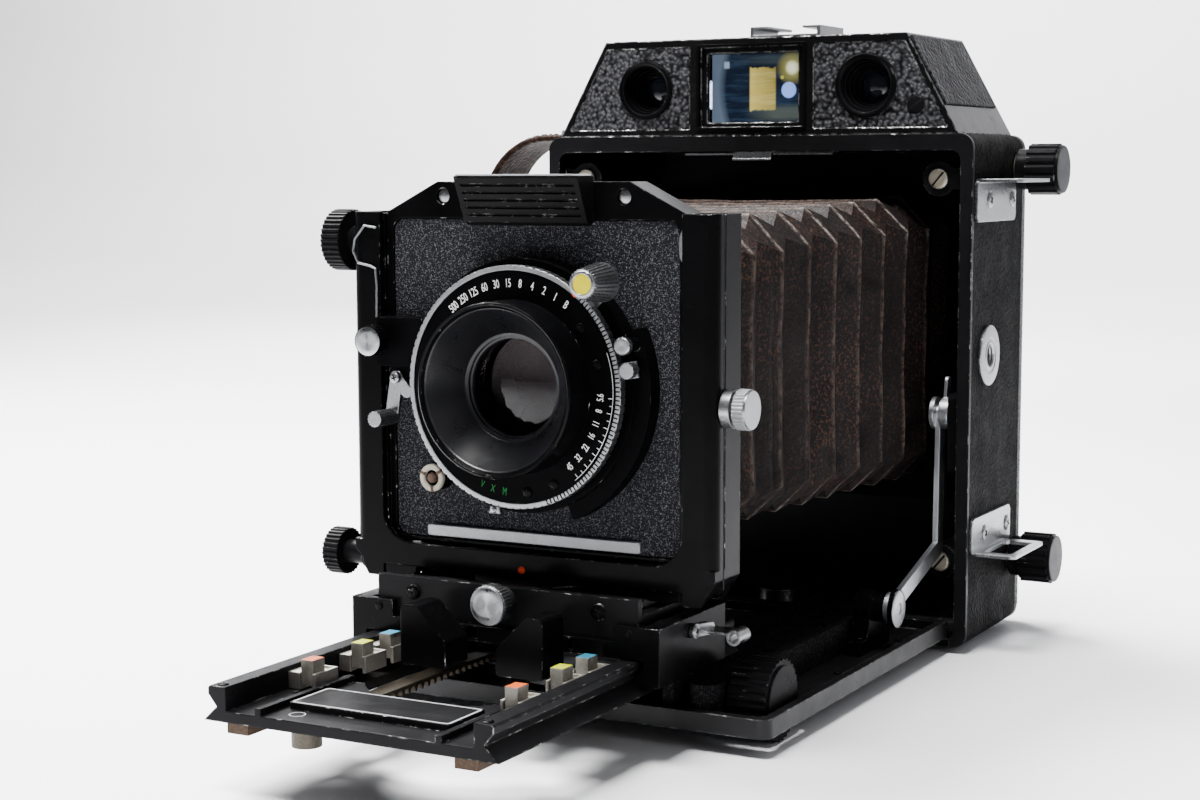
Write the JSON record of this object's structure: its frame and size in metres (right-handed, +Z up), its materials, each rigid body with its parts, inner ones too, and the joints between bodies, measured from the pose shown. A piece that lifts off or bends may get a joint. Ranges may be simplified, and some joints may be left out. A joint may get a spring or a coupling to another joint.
{
  "type": "folding view camera",
  "caption": "Folding-bed view camera with leather bellows, focusing track, front standard with shutter and lens, rangefinder housing, side knobs and hand strap.",
  "frame": {"origin": "centre of the mouth of the tripod socket under the body, in the plane the camera stands on", "axes": "+Z up, -Y the way the lens looks, +X the right-hand side as seen by someone standing in front of the lens"},
  "size_m": [0.1832, 0.267, 0.1801],
  "materials": {
    "black_enamel": "satin, worn to metal on the edges",
    "black_gloss": "gloss",
    "black_crackle": "crackle",
    "black_anodised": "satin",
    "covering": "pebbled",
    "strap_leather": "worn",
    "bellows_leather": "worn",
    "bright_metal": "satin",
    "steel": "brushed",
    "shutter_black": "satin",
    "lens_black": "satin",
    "optical_glass": "coated",
    "window_glass": "polished",
    "ground_glass": "ground",
    "brown_fibre": "matte",
    "stop_metal": "worn",
    "orange_paint": "satin",
    "yellow_paint": "satin",
    "blue_paint": "satin"
  },
  "bodies": {
    "camera_body": {"body_shell": "black_enamel", "body_covering": "covering", "finder_housing": "black_gloss", "finder_covering": "covering", "finder_rings": "black_anodised", "finder_glass": "window_glass", "bright_trim": "bright_metal", "bellows_rear_frame": "black_enamel", "hand_strap": "strap_leather", "side_brackets": "bright_metal", "tripod_sockets": "bright_metal", "strut_guides": "black_enamel", "bed_hinge_pin": "steel", "bellows": "bellows_leather"},
    "back": {"back_frame": "black_enamel", "back_rods": "steel", "ground_glass": "ground_glass"},
    "knob_upper_right": {"back_knob_1": "black_anodised"},
    "knob_lower_right": {"back_knob_2": "black_anodised"},
    "knob_upper_left": {"back_knob_3": "black_anodised"},
    "knob_lower_left": {"back_knob_4": "black_anodised"},
    "bed": {"bed_plate": "black_enamel", "bed_guides": "black_crackle", "strut_posts": "black_enamel"},
    "focus_drive": {"focus_shaft": "steel", "focus_knobs": "black_anodised"},
    "strut_r": {"strut_right": "bright_metal"},
    "strut_l": {"strut_left": "bright_metal"},
    "track": {"track_frame": "black_enamel", "focus_rack": "steel", "track_pads": "brown_fibre", "stop_blocks": "stop_metal"},
    "orange_right": {"stop_orange_right": "orange_paint"},
    "yellow_right": {"stop_yellow_right": "yellow_paint"},
    "blue_right": {"stop_blue_right": "blue_paint"},
    "orange_left": {"stop_orange_left": "orange_paint"},
    "yellow_left": {"stop_yellow_left": "yellow_paint"},
    "blue_left": {"stop_blue_left": "blue_paint"},
    "carriage_body": {"carriage": "black_enamel", "cross_rail": "black_enamel"},
    "grip_r": {"grip_right": "black_anodised"},
    "grip_l": {"grip_left": "black_anodised"},
    "catch": {"carriage_catch": "bright_metal"},
    "shift": {"shift_plate": "black_enamel"},
    "shift_lock": {"shift_knob": "bright_metal"},
    "swing": {"swing_yoke": "black_enamel"},
    "standard": {"front_frame": "black_gloss"},
    "tilt_lock": {"tilt_knob": "black_anodised"},
    "rise_drive": {"rise_knob": "black_anodised"},
    "rise_lock": {"rise_lock_knob": "bright_metal"},
    "panel": {"lens_panel": "black_gloss", "lensboard": "black_crackle", "shutter_case": "shutter_black", "lens_barrel": "lens_black", "lens_glass": "optical_glass"},
    "clamp": {"board_clamp": "black_anodised"},
    "speed": {"speed_ring": "steel"},
    "aperture": {"aperture_lever": "bright_metal"},
    "cocking": {"cocking_lever": "bright_metal"},
    "release": {"release_lever": "bright_metal"}
  },
  "joints": [
    {"name": "back_slide", "type": "slide", "parent": "camera_body", "child": "back", "axis": [0, 1, 0], "range_m": [0, 0.012]},
    {"name": "upper_right_knob_turn", "type": "hinge", "parent": "camera_body", "child": "knob_upper_right", "pos_m": [0.07, 0.017, 0.1384], "axis": [1, 0, 0], "range_deg": [-90, 90]},
    {"name": "lower_right_knob_turn", "type": "hinge", "parent": "camera_body", "child": "knob_lower_right", "pos_m": [0.07, 0.017, 0.0226], "axis": [1, 0, 0], "range_deg": [-90, 90]},
    {"name": "upper_left_knob_turn", "type": "hinge", "parent": "camera_body", "child": "knob_upper_left", "pos_m": [-0.07, 0.017, 0.1384], "axis": [1, 0, 0], "range_deg": [-90, 90]},
    {"name": "lower_left_knob_turn", "type": "hinge", "parent": "camera_body", "child": "knob_lower_left", "pos_m": [-0.07, 0.017, 0.0226], "axis": [1, 0, 0], "range_deg": [-90, 90]},
    {"name": "bed_drop", "type": "hinge", "parent": "camera_body", "child": "bed", "pos_m": [0, -0.021, 0.0073], "axis": [1, 0, 0], "range_deg": [0, 15], "deforming": ["bellows"]},
    {"name": "strut_right_turn", "type": "hinge", "parent": "bed", "child": "strut_r", "pos_m": [0.05775, -0.0565, 0.0188], "axis": [1, 0, 0], "range_deg": [-18, 0.5]},
    {"name": "strut_left_turn", "type": "hinge", "parent": "bed", "child": "strut_l", "pos_m": [-0.05775, -0.0565, 0.0188], "axis": [1, 0, 0], "range_deg": [-18, 0.5]},
    {"name": "track_slide", "type": "slide", "parent": "bed", "child": "track", "axis": [0, 1, 0], "range_m": [0, 0.05], "deforming": ["bellows"]},
    {"name": "focus_turn", "type": "hinge", "parent": "bed", "child": "focus_drive", "pos_m": [0, -0.133, 0.0102], "axis": [1, 0, 0], "range_deg": [-640, 5]},
    {"name": "orange_right_tip", "type": "hinge", "parent": "track", "child": "orange_right", "pos_m": [0.0274, -0.2025, 0.0218], "axis": [1, 0, 0], "range_deg": [0, 30]},
    {"name": "yellow_right_tip", "type": "hinge", "parent": "track", "child": "yellow_right", "pos_m": [0.0274, -0.1825, 0.0218], "axis": [1, 0, 0], "range_deg": [0, 30]},
    {"name": "blue_right_tip", "type": "hinge", "parent": "track", "child": "blue_right", "pos_m": [0.0274, -0.1707, 0.0218], "axis": [1, 0, 0], "range_deg": [0, 30]},
    {"name": "orange_left_tip", "type": "hinge", "parent": "track", "child": "orange_left", "pos_m": [-0.0274, -0.2025, 0.0218], "axis": [1, 0, 0], "range_deg": [0, 30]},
    {"name": "yellow_left_tip", "type": "hinge", "parent": "track", "child": "yellow_left", "pos_m": [-0.0274, -0.1825, 0.0218], "axis": [1, 0, 0], "range_deg": [0, 30]},
    {"name": "blue_left_tip", "type": "hinge", "parent": "track", "child": "blue_left", "pos_m": [-0.0274, -0.1707, 0.0218], "axis": [1, 0, 0], "range_deg": [0, 30]},
    {"name": "carriage_slide", "type": "slide", "parent": "track", "child": "carriage_body", "axis": [0, 1, 0], "range_m": [-0.004, 0.014], "deforming": ["bellows"]},
    {"name": "grip_right_squeeze", "type": "slide", "parent": "carriage_body", "child": "grip_r", "axis": [-1, 0, 0], "range_m": [0, 0.0015], "stiffness_N_per_m": 800},
    {"name": "grip_left_squeeze", "type": "slide", "parent": "carriage_body", "child": "grip_l", "axis": [1, 0, 0], "range_m": [0, 0.0015], "stiffness_N_per_m": 800},
    {"name": "catch_turn", "type": "hinge", "parent": "carriage_body", "child": "catch", "pos_m": [0.0436, -0.151, 0.0294], "axis": [1, 0, 0], "range_deg": [0, 25]},
    {"name": "front_shift", "type": "slide", "parent": "carriage_body", "child": "shift", "axis": [1, 0, 0], "range_m": [-0.015, 0.015], "deforming": ["bellows"]},
    {"name": "shift_lock_turn", "type": "hinge", "parent": "carriage_body", "child": "shift_lock", "pos_m": [0, -0.17, 0.0354], "axis": [0, 1, 0], "range_deg": [-180, 180]},
    {"name": "front_swing", "type": "hinge", "parent": "shift", "child": "swing", "pos_m": [0, -0.146, 0.0368], "axis": [0, 0, 1], "range_deg": [-8, 8], "deforming": ["bellows"]},
    {"name": "front_tilt", "type": "hinge", "parent": "swing", "child": "standard", "pos_m": [0, -0.146, 0.04], "axis": [1, 0, 0], "range_deg": [-7, 0], "deforming": ["bellows"]},
    {"name": "tilt_lock_turn", "type": "hinge", "parent": "standard", "child": "tilt_lock", "pos_m": [-0.055, -0.149, 0.04], "axis": [1, 0, 0], "range_deg": [-180, 180]},
    {"name": "front_rise", "type": "slide", "parent": "standard", "child": "panel", "axis": [0, 0, 1], "range_m": [0, 0.022], "deforming": ["bellows"]},
    {"name": "rise_turn", "type": "hinge", "parent": "standard", "child": "rise_drive", "pos_m": [-0.052, -0.146, 0.1208], "axis": [1, 0, 0], "range_deg": [-400, 5]},
    {"name": "rise_lock_turn", "type": "hinge", "parent": "standard", "child": "rise_lock", "pos_m": [0.054, -0.149, 0.0828], "axis": [1, 0, 0], "range_deg": [-180, 180]},
    {"name": "board_clamp_lift", "type": "slide", "parent": "panel", "child": "clamp", "axis": [0, 0, 1], "range_m": [0, 0.0015]},
    {"name": "speed_ring_turn", "type": "hinge", "parent": "panel", "child": "speed", "pos_m": [0, -0.16, 0.0865], "axis": [0, -1, 0], "range_deg": [-60, 60]},
    {"name": "aperture_turn", "type": "hinge", "parent": "panel", "child": "aperture", "pos_m": [0, -0.1584, 0.0865], "axis": [0, -1, 0], "range_deg": [-70, 0]},
    {"name": "cocking_turn", "type": "hinge", "parent": "panel", "child": "cocking", "pos_m": [0, -0.1576, 0.0865], "axis": [0, -1, 0], "range_deg": [0, 25]},
    {"name": "release_turn", "type": "hinge", "parent": "panel", "child": "release", "pos_m": [-0.036, -0.1574, 0.087], "axis": [0, -1, 0], "range_deg": [0, 10]}
  ],
  "couplings": [
    {"joint": "strut_right_turn", "follows": "bed_drop", "ratio": -1.137},
    {"joint": "strut_left_turn", "follows": "bed_drop", "ratio": -1.137},
    {"joint": "focus_turn", "follows": "track_slide", "rad_per_m": -222.22},
    {"joint": "rise_turn", "follows": "front_rise", "rad_per_m": -312.5}
  ]
}
